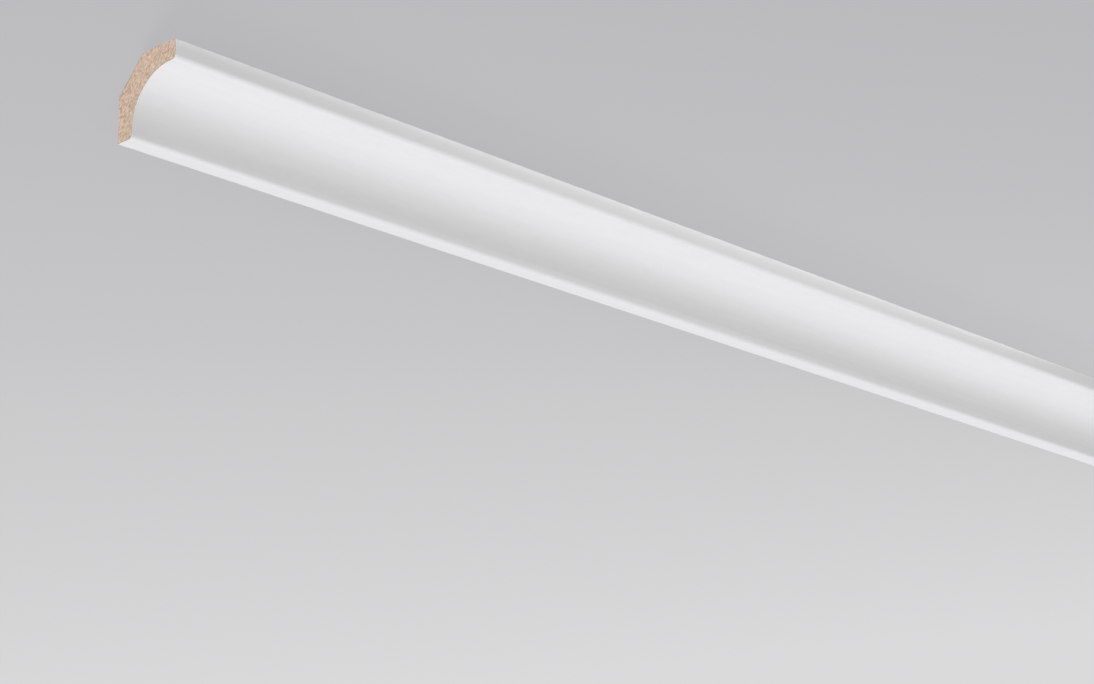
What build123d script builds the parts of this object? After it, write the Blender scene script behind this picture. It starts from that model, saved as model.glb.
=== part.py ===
from build123d import *
import os
from math import sqrt

# Cove moulding for the corner between a wall and a ceiling, sizes in mm.
# It lies on its bevelled back with the hollow upwards: X runs along the length,
# the ceiling leg rises towards +Y and the wall leg towards -Y.

# Driving dimensions
length = 2400.0  # as sold
leg_width = 40.0  # each leg, from the unbevelled back corner to the face of its lip
lip_thickness = 10.0  # each leg at its lip
lip_land = 4.5  # flat strip between the hollow and the face of the lip
back_bevel = 17.0  # taken off the back corner along each leg
room_edge_radius = 2.0  # lip edge towards the room
back_edge_radius = 0.5  # lip edge against the wall or the ceiling

# The hollow is a quarter circle that runs out smoothly into both lands
cove_centre = leg_width - lip_land
cove_radius = cove_centre - lip_thickness

# The section is drawn from the back corner: x out along the ceiling leg, y out along the wall leg.
# The corner itself is cut away, and lies below the floor by the depth of the bevel.
section_plane = Plane(
    origin=(-length / 2, 0, -back_bevel / sqrt(2)),
    x_dir=(0, 1, 1),
    z_dir=(1, 0, 0),
)

with BuildPart() as cove_moulding:
    with BuildSketch(section_plane) as section:
        with BuildLine():
            CenterArc((cove_centre, cove_centre), cove_radius, start_angle=180, arc_size=90)
            Polyline(
                (cove_centre, lip_thickness),
                (leg_width, lip_thickness),
                (leg_width, 0),
                (back_bevel, 0),
                (0, back_bevel),
                (0, leg_width),
                (lip_thickness, leg_width),
                (lip_thickness, cove_centre),
            )
        make_face()

        # The film is wrapped round eased lip edges, softer on the side that shows
        ceiling_lip = section.vertices().group_by(Axis.X)[-1].sort_by(Axis.Y)
        wall_lip = section.vertices().group_by(Axis.Y)[-1].sort_by(Axis.X)
        fillet([ceiling_lip[0], wall_lip[0]], radius=back_edge_radius)

        ceiling_lip = section.vertices().group_by(Axis.X)[-1].sort_by(Axis.Y)
        wall_lip = section.vertices().group_by(Axis.Y)[-1].sort_by(Axis.X)
        fillet([ceiling_lip[-1], wall_lip[-1]], radius=room_edge_radius)
    extrude(amount=length)

cove_moulding.part.label = "cove_moulding"

os.makedirs("parts", exist_ok=True)
export_step(cove_moulding.part, "parts/cove_moulding.step")
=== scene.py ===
import math

import bpy
import numpy as np
from mathutils import Matrix, Vector, noise


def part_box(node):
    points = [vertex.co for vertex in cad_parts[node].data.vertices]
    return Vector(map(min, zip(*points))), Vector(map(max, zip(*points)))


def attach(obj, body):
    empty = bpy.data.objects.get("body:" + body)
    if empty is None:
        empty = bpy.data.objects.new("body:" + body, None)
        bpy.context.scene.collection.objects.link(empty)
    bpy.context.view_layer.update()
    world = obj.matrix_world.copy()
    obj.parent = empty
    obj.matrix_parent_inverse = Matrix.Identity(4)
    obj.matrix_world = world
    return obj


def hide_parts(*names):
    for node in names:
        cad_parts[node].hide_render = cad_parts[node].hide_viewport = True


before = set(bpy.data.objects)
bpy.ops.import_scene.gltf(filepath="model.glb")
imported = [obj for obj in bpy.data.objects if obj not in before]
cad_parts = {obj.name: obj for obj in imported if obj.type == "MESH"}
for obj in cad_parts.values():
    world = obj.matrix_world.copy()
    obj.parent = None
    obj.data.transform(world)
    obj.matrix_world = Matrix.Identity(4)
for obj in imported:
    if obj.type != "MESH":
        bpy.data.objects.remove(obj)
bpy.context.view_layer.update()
cadLow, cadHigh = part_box("cove_moulding")
length = cadHigh[0] - cadLow[0]
mm = 0.001
print(f"frame: one moulding, {length:.3f} m long")


class Wire:  # an output socket: arithmetic on it adds Math nodes
    def __init__(self, graph, socket):
        self.graph = graph
        self.socket = socket

    def math(self, operation, first, second):
        return self.graph.node("ShaderNodeMath", {"operation": operation}, {0: first, 1: second})

    def larger(self, other):
        return self.math("MAXIMUM", self, other)

    def __add__(self, other):
        return self.math("ADD", self, other)

    def __sub__(self, other):
        return self.math("SUBTRACT", self, other)

    def __rsub__(self, other):
        return self.math("SUBTRACT", other, self)

    def __mul__(self, other):
        return self.math("MULTIPLY", self, other)

    def __truediv__(self, other):
        return self.math("DIVIDE", self, other)

    def __rtruediv__(self, other):
        return self.math("DIVIDE", other, self)

    def __pow__(self, other):
        return self.math("POWER", self, other)

    def __rpow__(self, other):
        return self.math("POWER", other, self)

    __radd__ = __add__
    __rmul__ = __mul__


class Graph:  # the nodes of one material or world
    def __init__(self, owner):
        owner.use_nodes = True
        self.tree = owner.node_tree
        self.tree.nodes.clear()

    def node(self, kind, settings=None, values=None, out=0):
        made = self.tree.nodes.new(kind)
        for name, value in (settings or {}).items():  # first, as they can change the sockets
            if name == "stops":
                fillRamp(made.color_ramp, value)
            else:
                setattr(made, name, value)
        for name, value in (values or {}).items():
            if isinstance(value, Wire):
                self.tree.links.new(value.socket, made.inputs[name])
            else:
                made.inputs[name].default_value = value
        return Wire(self, made.outputs[out]) if made.outputs else made


def fillRamp(ramp, stops):
    while len(ramp.elements) < len(stops):
        ramp.elements.new(1.0)
    for element, (place, colour) in zip(ramp.elements, stops):
        element.position = place
        element.color = colour


def paint(*levels):  # a colour as a paint chart gives it, 0 to 255, turned into light
    light = []
    for level in levels:
        share = level / 255
        light.append(share / 12.92 if share <= 0.04045 else ((share + 0.055) / 1.055) ** 2.4)
    return (*light, 1.0)


def blend(graph, share, first, second):
    values = {0: share, 6: first, 7: second}
    return graph.node("ShaderNodeMix", {"data_type": "RGBA"}, values, out=2)


def grain(graph, place, spacing, detail=2.0, seed=0.0):  # noise, one grain as large as spacing
    perGrain = [1 / size for size in spacing]
    shift = (seed, 2 * seed, 3 * seed)
    settings = {"operation": "MULTIPLY_ADD"}
    scaled = graph.node("ShaderNodeVectorMath", settings, {0: place, 1: perGrain, 2: shift})
    values = {"Vector": scaled, "Scale": 1.0, "Detail": detail, "Roughness": 0.6}
    return graph.node("ShaderNodeTexNoise", {}, values)


def between(graph, value, low, high):  # 0 below low, 1 above high, smooth between
    settings = {"interpolation_type": "SMOOTHSTEP"}
    values = {"Value": value, "From Min": low, "From Max": high}
    return graph.node("ShaderNodeMapRange", settings, values)


def specks(graph, place, spacing, size, share):  # mask of specks, in this share of the cells
    softEdge = 0.02
    perCell = [1 / step for step in spacing]
    scaled = graph.node("ShaderNodeVectorMath", {"operation": "MULTIPLY"}, {0: place, 1: perCell})
    cells = {"Vector": scaled, "Scale": 1.0}
    near = graph.node("ShaderNodeTexVoronoi", {}, cells)
    pick = graph.node("ShaderNodeTexVoronoi", {}, cells, out="Color")
    chance = graph.node("ShaderNodeSeparateColor", {}, {0: pick})
    speck = 1 - between(graph, near, size / 2, size)
    return speck * (1 - between(graph, chance, share, share + softEdge))


def surface(graph, values, bump, depth):
    values["Normal"] = graph.node("ShaderNodeBump", {}, {"Height": bump, "Distance": depth})
    shader = graph.node("ShaderNodeBsdfPrincipled", {}, values)
    graph.node("ShaderNodeOutputMaterial", {}, {"Surface": shader})


# White film, satin: it follows the board's fibres a little
# and keeps faint lines from the wrapping rollers
film = {
    "colour": paint(236, 236, 236),
    "shade": paint(234, 234, 234),
    "shadeLevels": (0.3, 0.7),
    "roughness": 0.26,
    "roughnessSpread": 0.05,
    "fibreShow": (9 * mm, 4 * mm, 4 * mm),
    "rollerLines": (900 * mm, 2.2 * mm, 2.2 * mm),
    "fibreRelief": 0.7,  # shares of the depth
    "lineRelief": 0.3,
    "waveDepth": 0.004 * mm,
}


def filmMaterial():
    material = bpy.data.materials.new("white_film")
    graph = Graph(material)
    place = graph.node("ShaderNodeTexCoord", out="Object")
    fibres = grain(graph, place, film["fibreShow"], detail=1.0)
    lines = grain(graph, place, film["rollerLines"], detail=1.0, seed=3.0)
    tone = fibres * 0.5 + lines * 0.5  # the mean of both
    shaded = between(graph, tone, *film["shadeLevels"])
    surface(
        graph,
        {
            "Base Color": blend(graph, shaded, film["colour"], film["shade"]),
            "Roughness": film["roughness"] + (tone - 0.5) * film["roughnessSpread"],
        },
        bump=fibres * film["fibreRelief"] + lines * film["lineRelief"],
        depth=film["waveDepth"],
    )
    return material


# Fibreboard, sawn across at the ends and planed on the back.
# A layer gives its pattern, the levels between which it comes in, its strength and its colour.
board = {
    "body": paint(203, 180, 158),
    "straw": paint(232, 214, 192),
    "bark": paint(150, 118, 96),
    "rose": paint(211, 183, 161),
    "planed": paint(186, 156, 128),
    "rim": paint(150, 120, 99),
    # sawn ends
    "fibre": (0.7 * mm, 1.7 * mm, 0.8 * mm),  # the mat's fibres lie across the end
    "thread": (0.5 * mm, 1.9 * mm, 0.35 * mm),
    "flock": (4 * mm, 4 * mm, 4 * mm),
    "sawnLayers": [
        ("flocks", (0.35, 0.65), 1.0, "rose"),
        ("fibres", (0.46, 0.74), 1.0, "straw"),
        ("fibres", (0.50, 0.22), 0.75, "bark"),
        ("threads", (0.55, 0.75), 0.6, "straw"),
        ("threads", (0.42, 0.25), 0.5, "bark"),
    ],
    "speck": (1.2 * mm, 2.4 * mm, 0.9 * mm),
    "speckSize": 0.45,  # of its cell
    "speckShare": 0.16,  # of the cells
    "speckStrength": 0.4,
    "speckSink": 0.4,  # share of the depth
    "rimWidth": (0.1 * mm, 0.9 * mm),  # it darkens towards its glued and bevelled edges
    "rimStrength": 0.4,
    "sawnRoughness": 0.9,
    "sawDepth": 0.08 * mm,
    # planed back
    "planedFibre": (1.7 * mm, 0.6 * mm, 0.6 * mm),
    "planerLines": (140 * mm, 0.9 * mm, 0.9 * mm),
    "planedFlock": (12 * mm, 12 * mm, 12 * mm),
    "planedLayers": [
        ("fibres", (0.35, 0.75), 1.0, "body"),
        ("fibres", (0.42, 0.25), 0.45, "bark"),
        ("lines", (0.45, 0.75), 0.35, "straw"),
        ("flocks", (0.4, 0.7), 0.12, "straw"),
    ],
    "planedRoughness": 0.72,
    "planedRoughnessSpread": 0.2,
    "planedFibreRelief": 0.6,  # shares of the depth
    "planerLineRelief": 0.4,
    "planedDepth": 0.02 * mm,
}


def layered(graph, colour, patterns, layers):
    for pattern, levels, strength, tone in layers:
        mask = between(graph, patterns[pattern], *levels) * strength
        colour = blend(graph, mask, colour, board[tone])
    return colour


def sawnMaterial():
    material = bpy.data.materials.new("sawn_fibreboard")
    graph = Graph(material)
    place = graph.node("ShaderNodeTexCoord", out="Object")
    fibres = grain(graph, place, board["fibre"], detail=2.0)
    threads = grain(graph, place, board["thread"], detail=1.0, seed=2.0)
    flocks = grain(graph, place, board["flock"], detail=1.0, seed=5.0)
    patterns = {"fibres": fibres, "threads": threads, "flocks": flocks}
    colour = layered(graph, board["body"], patterns, board["sawnLayers"])
    dark = specks(graph, place, board["speck"], board["speckSize"], board["speckShare"])
    colour = blend(graph, dark * board["speckStrength"], colour, board["bark"])
    fromRim = graph.node("ShaderNodeAttribute", {"attribute_name": "fromRim"}, out="Fac")
    inside = between(graph, fromRim, *board["rimWidth"])
    colour = blend(graph, (1 - inside) * board["rimStrength"], colour, board["rim"])
    surface(
        graph,
        {"Base Color": colour, "Roughness": board["sawnRoughness"]},
        bump=fibres - dark * board["speckSink"],
        depth=board["sawDepth"],
    )
    return material


def planedMaterial():
    material = bpy.data.materials.new("planed_fibreboard")
    graph = Graph(material)
    place = graph.node("ShaderNodeTexCoord", out="Object")
    fibres = grain(graph, place, board["planedFibre"], detail=2.0, seed=7.0)
    lines = grain(graph, place, board["planerLines"], detail=1.0, seed=11.0)
    flocks = grain(graph, place, board["planedFlock"], detail=1.0, seed=9.0)
    patterns = {"fibres": fibres, "lines": lines, "flocks": flocks}
    uneven = (fibres - 0.5) * board["planedRoughnessSpread"]
    surface(
        graph,
        {
            "Base Color": layered(graph, board["planed"], patterns, board["planedLayers"]),
            "Roughness": board["planedRoughness"] + uneven,
        },
        bump=fibres * board["planedFibreRelief"] + lines * board["planerLineRelief"],
        depth=board["planedDepth"],
    )
    return material


# The moulding: one closed mesh, its section carried along the length
moulding = {
    "legWidth": 40 * mm,  # from the unbevelled back corner to the face of the lip
    "lipThickness": 10 * mm,
    "lipLand": 4.5 * mm,  # flat strip between the hollow and the face of the lip
    "backBevel": 17 * mm,
    "roomEdge": {"ceiling": 2.4 * mm, "wall": 2.05 * mm},  # rounding of each lip to the room
    "backEdge": 0.5 * mm,
    "lipFall": {"ceiling": 0.3 * mm, "wall": 0.03 * mm},  # its face falls away to its back edge
    "lipFallWidth": 5 * mm,
    "film": 0.12 * mm,  # thickness of the film
    "filmReturn": 8 * mm,  # film turned over onto the back of each leg
    "filmWander": 0.25 * mm,  # how far its edge there strays from straight
    "filmWave": 90 * mm,
    "wanderSeeds": (7.3, 1.7),  # one for the side, one for all
    "arris": 0.08 * mm,  # edge of the saw cut, just broken
    "sawRelief": 0.07 * mm,  # how unevenly the saw leaves the fibres
    "sawFibre": (1.0 * mm, 0.45 * mm),
    "sawSeed": 40,
    "stationStep": 20 * mm,
    "sharpAngle": 32,  # degrees, an edge below it is shaded smooth
}
# Columns of faces from a lip to the middle of the section, and rows across a lip between its rims
columnsOf = {"rim": 1, "land": 5, "hollow": 42, "return": 10, "step": 1, "flat": 17, "bevel": 19}
rowsOf = {"backEdge": 4, "face": 16, "roomEdge": 10}
filmFinish, planedFinish, sawnFinish = 0, 1, 2  # places of the materials on the mesh


def run(start, end, count):
    return np.linspace(start, end, count + 1)


def arc(centre, radius, fromDegrees, toDegrees, count):
    angle = np.radians(np.linspace(fromDegrees, toDegrees, count + 1))
    return np.array(centre) + radius * np.column_stack([np.cos(angle), np.sin(angle)])


def join(*runs):
    return np.vstack([runs[0], *[r[1:] for r in runs[1:]]])


def bothLegs(ceiling, wall):  # both come drawn along the ceiling leg, the second is mirrored
    return join(ceiling, wall[::-1, ::-1])


# Points are (out along the ceiling leg, out along the wall leg) from the back corner
def frontHalf(m, leg):
    centre = m["legWidth"] - m["lipLand"]
    radius = centre - m["lipThickness"]
    start = lipCurve(m, leg)[-1]
    rim = (start[0] - m["film"], m["lipThickness"])
    hollow = arc((centre, centre), radius, 270, 225, columnsOf["hollow"])
    return join(
        run(start, rim, columnsOf["rim"]),
        run(rim, hollow[0], columnsOf["land"]),
        hollow,
    )


def backHalf(m, leg):
    start = lipCurve(m, leg)[0]
    rim = (start[0] - m["film"], 0)
    edge = (m["legWidth"] - m["filmReturn"], 0)
    sunk = (edge[0], m["film"])
    corner = (m["backBevel"] - m["film"], m["film"])
    middle = (m["backBevel"] / 2, m["backBevel"] / 2)
    return join(
        run(start, rim, columnsOf["rim"]),
        run(rim, edge, columnsOf["return"]),
        run(edge, sunk, columnsOf["step"]),
        run(sunk, corner, columnsOf["flat"]),
        run(corner, middle, columnsOf["bevel"]),
    )


def lipCurve(m, leg):  # its first and last steps are as long as the film is thick
    backEdge, roomEdge = m["backEdge"], m["roomEdge"][leg]
    back = (m["legWidth"] - backEdge, backEdge)
    room = (m["legWidth"] - roomEdge, m["lipThickness"] - roomEdge)
    backStep = math.degrees(m["film"] / backEdge)
    roomStep = math.degrees(m["film"] / roomEdge)
    first = arc(back, backEdge, -90, backStep - 90, columnsOf["rim"])
    second = arc(back, backEdge, backStep - 90, 0, rowsOf["backEdge"])
    third = arc(room, roomEdge, 0, 90 - roomStep, rowsOf["roomEdge"])
    last = arc(room, roomEdge, 90 - roomStep, 90, columnsOf["rim"])
    lip = join(first, second, run(second[-1], third[0], rowsOf["face"]), third, last)
    lip[:, 0] -= m["lipFall"][leg] * np.clip(1 - lip[:, 1] / m["lipFallWidth"], 0, 1) ** 2
    return lip


def along(points):  # share of the way along a curve at each of its points
    steps = np.linalg.norm(np.diff(points, axis=0), axis=1)
    return np.concatenate([[0], np.cumsum(steps)]) / steps.sum()


def spread(back, front, ceiling, wall):  # grid of points over the section inside the four curves
    t = along(front)[:, None, None]
    r = along(ceiling)[None, :, None]
    ends = (1 - t) * ceiling[None] + t * wall[None, :, ::-1]
    sides = (1 - r) * back[:, None] + r * front[:, None]
    ceilingCorners = (1 - r) * back[0] + r * front[0]
    wallCorners = (1 - r) * back[-1] + r * front[-1]
    return ends + sides - ((1 - t) * ceilingCorners + t * wallCorners)


def ringOf(columns, lipRows):  # grid places round the section: back, wall lip, front, ceiling lip
    back = [(i, 0) for i in range(columns + 1)]
    wall = [(columns, j) for j in range(1, lipRows)]
    front = [(i, lipRows) for i in range(columns, -1, -1)]
    ceiling = [(0, j) for j in range(lipRows - 1, 0, -1)]
    return back + wall + front + ceiling


def gridOf(columns, lipRows):  # column and row of every face of a grid
    places = np.meshgrid(np.arange(columns), np.arange(lipRows), indexing="ij")
    return [place.ravel() for place in places]


def wander(x, side):  # how far the film's edge on the back strays at this station
    m = moulding
    sideSeed, seed = m["wanderSeeds"]
    return m["filmWander"] * noise.noise(Vector((x / m["filmWave"], sideSeed * side, seed)))


def sectionAt(x):
    m = moulding
    front = bothLegs(frontHalf(m, "ceiling"), frontHalf(m, "wall"))
    back = bothLegs(backHalf(m, "ceiling"), backHalf(m, "wall"))
    last = len(back) - 1
    edge = columnsOf["rim"] + columnsOf["return"]
    for column in (edge, edge + 1):  # top and foot of the film's edge
        back[column, 0] += wander(x, 0)
        back[last - column, 1] += wander(x, 1)
    return spread(back, front, lipCurve(m, "ceiling"), lipCurve(m, "wall"))


def stand(points, x):  # section points to places in the object's frame, the bevel on the floor
    out, down = points[:, 0], points[:, 1]
    y = (out - down) / math.sqrt(2)
    z = (out + down - moulding["backBevel"]) / math.sqrt(2)
    return np.column_stack([np.broadcast_to(x, y.shape), y, z])


def shrink(ring, amount):  # a closed ring of section points, drawn in by amount
    way = np.roll(ring, -1, axis=0) - np.roll(ring, 1, axis=0)
    inward = np.column_stack([-way[:, 1], way[:, 0]])
    inward = inward / np.linalg.norm(inward, axis=1, keepdims=True)
    area = np.sum(ring[:, 0] * np.roll(ring[:, 1], -1) - np.roll(ring[:, 0], -1) * ring[:, 1])
    return ring + amount * math.copysign(1, area) * inward


def sawnEnd(x, inwards, ring):  # grid of one sawn end, its fibres left uneven by the saw
    m = moulding
    grid = sectionAt(x)
    columns, lipRows = grid.shape[0] - 1, grid.shape[1] - 1
    i, j = np.array(ring).T
    grid[i, j] = shrink(grid[i, j], m["arris"])
    points = stand(grid.reshape(-1, 2), x)
    for k, point in enumerate(points):
        column, row = divmod(k, lipRows + 1)
        if 1 < column < columns - 1 and 1 < row < lipRows - 1:
            across = point[1] / m["sawFibre"][0]
            up = point[2] / m["sawFibre"][1]
            uneven = noise.noise(Vector((across, up, m["sawSeed"] * inwards)))
            point[0] += inwards * m["sawRelief"] * (0.5 + 0.5 * uneven)
    return points


def distanceTo(points, starts, ends):  # from each point to the nearest of the straight pieces
    way = ends - starts
    apart = points[:, None] - starts
    share = np.clip(np.sum(apart * way, axis=2) / np.sum(way * way, axis=1), 0, 1)
    return np.linalg.norm(apart - share[..., None] * way, axis=2).min(axis=1)


# Bake map: the length cut into bands, one above the other, and the sawn ends side by side below
layout = {"margin": 0.005, "bands": 3, "foot": 0.22, "endScale": 8.7, "endMiddles": (0.25, 0.75)}


def mapSides(ring, steps):  # corners of each face along the length, step by step round the ring
    edge, foot = layout["margin"], layout["foot"]
    sides = np.linalg.norm(np.roll(ring, -1, axis=0) - ring, axis=1)
    climb = np.concatenate([[0], np.cumsum(sides)]) / sides.sum()
    perBand = math.ceil(steps / layout["bands"])
    bandHeight = (1 - foot) / layout["bands"]
    step, side = gridOf(steps, len(ring))
    band, column = step // perBand, step % perBand
    corners = []
    for ahead, up in ((0, 0), (1, 0), (1, 1), (0, 1)):
        across = edge + (1 - 2 * edge) * (column + ahead) / perBand
        height = foot + band * bandHeight + (bandHeight - edge) * climb[side + up]
        corners.append(np.column_stack([across, height]))
    return np.stack(corners, axis=1)


def mapEnd(points, middle):  # an end keeps its shape on the map
    across, up = points[:, 1] * layout["endScale"], points[:, 2] * layout["endScale"]
    return np.column_stack([middle + across, layout["margin"] + up])


def makeMoulding():
    m = moulding
    grid = sectionAt(0)
    columns, lipRows = grid.shape[0] - 1, grid.shape[1] - 1
    ring = ringOf(columns, lipRows)
    i, j = np.array(ring).T
    filmColumns = columnsOf["rim"] + columnsOf["return"] + columnsOf["step"]

    # Points: a ring at each station, then the grids of the two sawn ends
    near, far = cadLow[0] + m["arris"], cadHigh[0] - m["arris"]
    stations = np.linspace(near, far, round(length / m["stationStep"]) + 1)
    body = np.vstack([stand(sectionAt(x)[i, j], x) for x in stations])
    nearEnd = sawnEnd(cadLow[0], 1, ring)
    farEnd = sawnEnd(cadHigh[0], -1, ring)
    points = np.vstack([body, nearEnd, farEnd])
    nearStart, farStart = len(body), len(body) + len(nearEnd)

    # Faces along the length, from each ring to the next
    size = len(ring)
    onEnd = i * (lipRows + 1) + j
    loops = [nearStart + onEnd]
    loops += [s * size + np.arange(size) for s in range(len(stations))]
    loops += [farStart + onEnd]
    bare = np.array([b == 0 and filmColumns <= a < columns - filmColumns for a, b in ring])
    faces, finish = [], []
    for a, b in zip(loops[:-1], loops[1:]):
        faces.append(np.column_stack([a, b, np.roll(b, -1), np.roll(a, -1)]))
        finish.append(np.where(bare, planedFinish, filmFinish))

    # Faces of the ends, the cut film round the sawn board
    a, b = gridOf(columns, lipRows)
    corner = a * (lipRows + 1) + b
    quad = np.column_stack([corner, corner + lipRows + 1, corner + lipRows + 2, corner + 1])
    backFilm = (a < filmColumns) | (a >= columns - filmColumns)
    rim = (b == lipRows - 1) | (a == 0) | (a == columns - 1) | ((b == 0) & backFilm)
    faces += [nearStart + quad, farStart + quad[:, ::-1]]
    finish += [np.where(rim, filmFinish, sawnFinish)] * 2
    faces = np.vstack(faces)
    finish = np.concatenate(finish)

    # How far the ends' points are from a glued or bevelled edge
    bevelStart = filmColumns + columnsOf["flat"]
    darkens = np.array([b > 0 or bevelStart <= a < columns - bevelStart for a, b in ring])
    outline = grid[i, j]
    onwards = np.roll(outline, -1, axis=0)
    onEnds = distanceTo(grid.reshape(-1, 2), outline[darkens], onwards[darkens])
    fromRim = np.concatenate([np.ones(len(body)), onEnds, onEnds])

    nearMiddle, farMiddle = layout["endMiddles"]
    bakeMap = np.vstack(
        [
            mapSides(outline, len(loops) - 1),
            mapEnd(nearEnd, nearMiddle)[quad],
            mapEnd(farEnd, farMiddle)[quad[:, ::-1]],
        ]
    )

    mesh = bpy.data.meshes.new("film_wrapped_cove")
    mesh.from_pydata(points.tolist(), [], faces.tolist())
    for material in (filmMaterial(), planedMaterial(), sawnMaterial()):
        mesh.materials.append(material)
    mesh.polygons.foreach_set("material_index", finish.astype(np.int32))
    mesh.polygons.foreach_set("use_smooth", np.ones(len(faces), bool))
    mesh.set_sharp_from_angle(angle=math.radians(m["sharpAngle"]))
    mesh.attributes.new("fromRim", "FLOAT", "POINT").data.foreach_set("value", fromRim)
    mesh.uv_layers.new(name="OFBake").data.foreach_set("uv", bakeMap.ravel())
    mesh.update()
    piece = bpy.data.objects.new("film_wrapped_cove", mesh)
    bpy.context.scene.collection.objects.link(piece)
    print(f"moulding: {len(faces)} faces, {len(stations)} stations")
    return piece


piece = makeMoulding()
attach(piece, "root")
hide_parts("cove_moulding")


# Camera: looks down on the near end, turned so that the length runs down to the right
camera = {
    "place": (-0.7378, 0.2929, 1.0184),  # from the middle of the near end, on the floor
    "aim": (0.3245, -0.0637, 0.0),
    "turn": 133.68,  # degrees about the line of sight
    "lens": 92.04,
    "sensor": 36.0,
    "clipEnd": 100.0,
}


def makeCamera():
    data = bpy.data.cameras.new("camera")
    data.lens = camera["lens"]
    data.sensor_width = camera["sensor"]
    data.sensor_fit = "HORIZONTAL"
    data.clip_end = camera["clipEnd"]
    made = bpy.data.objects.new("camera", data)
    nearEnd = Vector((cadLow[0], 0, 0))
    place = nearEnd + Vector(camera["place"])
    sight = (nearEnd + Vector(camera["aim"]) - place).to_track_quat("-Z", "Y").to_matrix()
    turned = sight @ Matrix.Rotation(math.radians(camera["turn"]), 3, "Z")
    made.matrix_world = Matrix.Translation(place) @ turned.to_4x4()
    bpy.context.scene.collection.objects.link(made)
    bpy.context.scene.camera = made
    print(f"camera: {(place - nearEnd).length:.2f} m from the near end")


makeCamera()


# Floor: pale, a little greyer behind the near end and whiter in front of it: painted shade behind
# and a painted pool of light in front
floor = {
    "size": 40.0,
    "drop": 0.02 * mm,
    "middle": (0.40, -0.07),  # of what the camera takes in, measured from the near end
    "along": (0.97, 0.243),  # the tones lie along this way
    "band": (0.239, -0.206),  # where they begin, behind, and end, in front
    # painted shade, grey behind the moulding, to a painted pool of light, white in front
    "tones": [
        (0.0, paint(188, 188, 191)),
        (0.24, paint(193, 193, 196)),
        (0.48, paint(200, 200, 202)),
        (0.56, paint(204, 204, 205)),
        (0.74, paint(210, 210, 211)),
        (1.0, paint(219, 219, 220)),
    ],
    "around": paint(202, 202, 204),  # plain floor further away
    "halfSize": (0.70, 0.42),  # of the oval that keeps the tones
    "fade": 4.0,  # they are gone at this many times its size
    "ownLight": 0.85,  # share of the tone that shows whatever falls on the floor
}


def distance(graph, place, middle, way):  # on the floor, from the middle, along one direction
    values = {0: place, 1: (*middle, 0.0)}
    apart = graph.node("ShaderNodeVectorMath", {"operation": "SUBTRACT"}, values)
    values = {0: apart, 1: (*way, 0.0)}
    return graph.node("ShaderNodeVectorMath", {"operation": "DOT_PRODUCT"}, values, out="Value")


def inSight(graph):  # 1 for what the camera sees, straight or in a reflection
    rays = ("Is Camera Ray", "Is Glossy Ray", "Is Transmission Ray")
    straight, mirrored, through = [graph.node("ShaderNodeLightPath", out=ray) for ray in rays]
    return straight.larger(mirrored).larger(through)


def floorMaterial():
    material = bpy.data.materials.new("floor")
    graph = Graph(material)
    place = graph.node("ShaderNodeTexCoord", out="Object")
    middle = Vector((cadLow[0] + floor["middle"][0], floor["middle"][1]))
    way = Vector(floor["along"])
    ahead = distance(graph, place, middle, way)
    aside = distance(graph, place, middle, way.orthogonal())
    first, last = floor["band"]
    down = (aside - first) / (last - first)
    # painted shade behind the near end and painted light in front of it, across the band
    tone = graph.node("ShaderNodeValToRGB", {"stops": floor["tones"]}, {0: down})
    ahead = ahead / floor["halfSize"][0]
    aside = aside / floor["halfSize"][1]
    outside = between(graph, (ahead * ahead + aside * aside) ** 0.5, 1.0, floor["fade"])
    tone = blend(graph, outside, tone, floor["around"])
    lit = graph.node("ShaderNodeBsdfDiffuse", {}, {"Color": tone})
    shown = graph.node("ShaderNodeEmission", {}, {"Color": tone, "Strength": 1.0})
    ownLight = inSight(graph) * floor["ownLight"]
    mixed = graph.node("ShaderNodeMixShader", {}, {0: ownLight, 1: lit, 2: shown})
    graph.node("ShaderNodeOutputMaterial", {}, {"Surface": mixed})
    return material


def makeFloor():
    reach = floor["size"] / 2
    corners = [(-reach, -reach), (reach, -reach), (reach, reach), (-reach, reach)]
    mesh = bpy.data.meshes.new("floor")
    mesh.from_pydata([(x, y, -floor["drop"]) for x, y in corners], [], [(0, 1, 2, 3)])
    mesh.materials.append(floorMaterial())
    made = bpy.data.objects.new("floor", mesh)
    bpy.context.scene.collection.objects.link(made)
    print(f"floor: {floor['size']:.0f} m across")


makeFloor()


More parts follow.
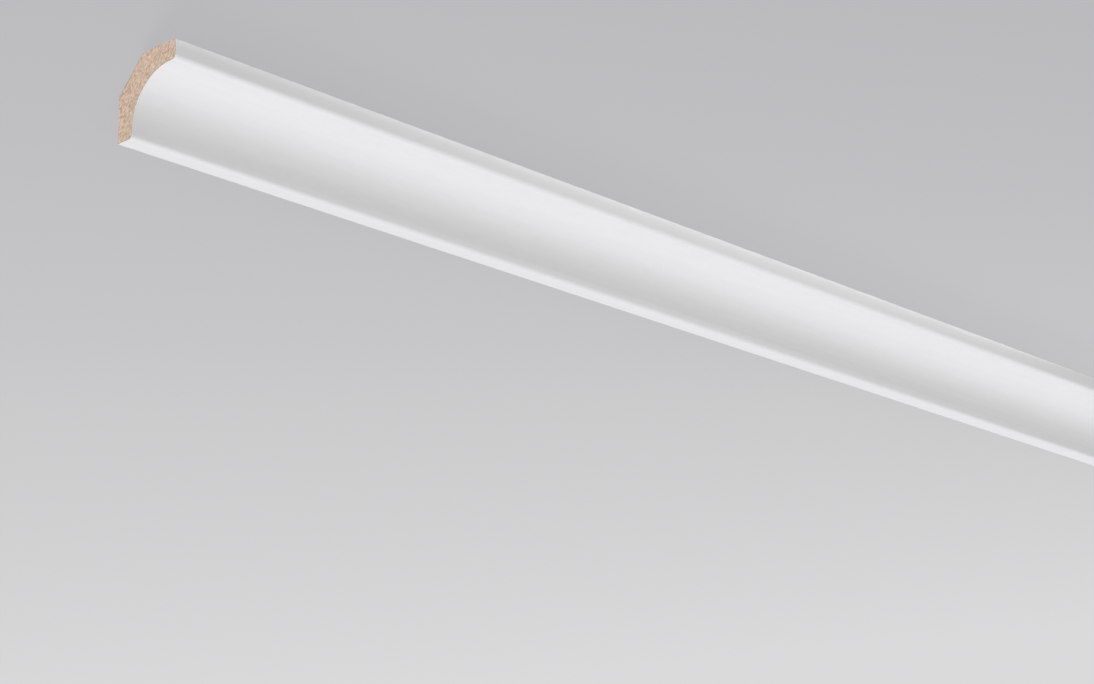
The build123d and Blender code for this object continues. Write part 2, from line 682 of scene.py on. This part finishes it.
# Light: level 1 alone would show a facing colour as it is written
suns = {
    "key": {
        "from": (0.0, -0.78, 0.63),
        "level": 0.385,
        "spread": 30,
        "colour": (1.0, 0.99, 1.05),
        "glare": True,
    },
    "front": {  # on the sawn end, without a sheen along the film
        "from": (-0.93, 0.0, 0.37),
        "level": 0.47,
        "spread": 40,
        "colour": (1.0, 1.0, 1.0),
        "glare": False,
    },
}
strips = {  # low behind the ceiling lip, from and aim measured from the near end
    "fill": {  # without a reflection
        "from": (0.41, 0.23, 0.030),
        "aim": (0.41, 0.026, 0.018),
        "size": (0.58, 0.02),
        "level": 0.42,
        "glare": False,
    },
    "edge": {  # only its reflection counts, a sheen on the outer edge of the lip
        "from": (0.50, 0.23, 0.022),
        "aim": (0.50, 0.026, 0.018),
        "size": (1.0, 0.016),
        "level": 0.90,
        "glare": True,
    },
}
sky = {"colour": (1.0, 1.0, 1.0, 1.0), "level": 0.5}


def placeLamp(name, kind, away, energy):  # away points from what it lights to the lamp
    data = bpy.data.lights.new(name, kind)
    data.energy = energy
    made = bpy.data.objects.new(name, data)
    made.rotation_euler = Vector(away).to_track_quat("Z", "Y").to_euler()
    bpy.context.scene.collection.objects.link(made)
    return made


def makeLamps():
    for name, sun in suns.items():
        made = placeLamp(name, "SUN", sun["from"], sun["level"] * math.pi)
        made.data.angle = math.radians(sun["spread"])
        made.data.color = sun["colour"]
        made.visible_glossy = sun["glare"]
    lit = bpy.data.collections.new("lit_by_strips")  # the floor keeps its even tone
    lit.objects.link(piece)
    for name, strip in strips.items():
        away = Vector(strip["from"]) - Vector(strip["aim"])
        made = placeLamp(name, "AREA", away, strip["level"] * math.pi**2 * away.length_squared)
        made.data.shape = "RECTANGLE"
        made.data.size, made.data.size_y = strip["size"]
        made.location = Vector((cadLow[0], 0, 0)) + Vector(strip["from"])
        made.visible_camera = False
        made.visible_glossy = strip["glare"]
        made.visible_diffuse = not strip["glare"]
        made.light_linking.receiver_collection = lit
    print(f"light: {len(suns)} soft suns and {len(strips)} low strips")


def makeSky():  # white light from all round, shown as the floor's tone
    world = bpy.data.worlds.new("studio")
    graph = Graph(world)
    values = {"Color": sky["colour"], "Strength": sky["level"]}
    light = graph.node("ShaderNodeBackground", {}, values)
    values = {"Color": floor["around"], "Strength": 1.0}
    shown = graph.node("ShaderNodeBackground", {}, values)
    mixed = graph.node("ShaderNodeMixShader", {}, {0: inSight(graph), 1: light, 2: shown})
    graph.node("ShaderNodeOutputWorld", {}, {"Surface": mixed})
    bpy.context.scene.world = world
    print(f"sky: level {sky['level']}")


makeLamps()
makeSky()
bpy.context.scene.view_settings.view_transform = "Standard"
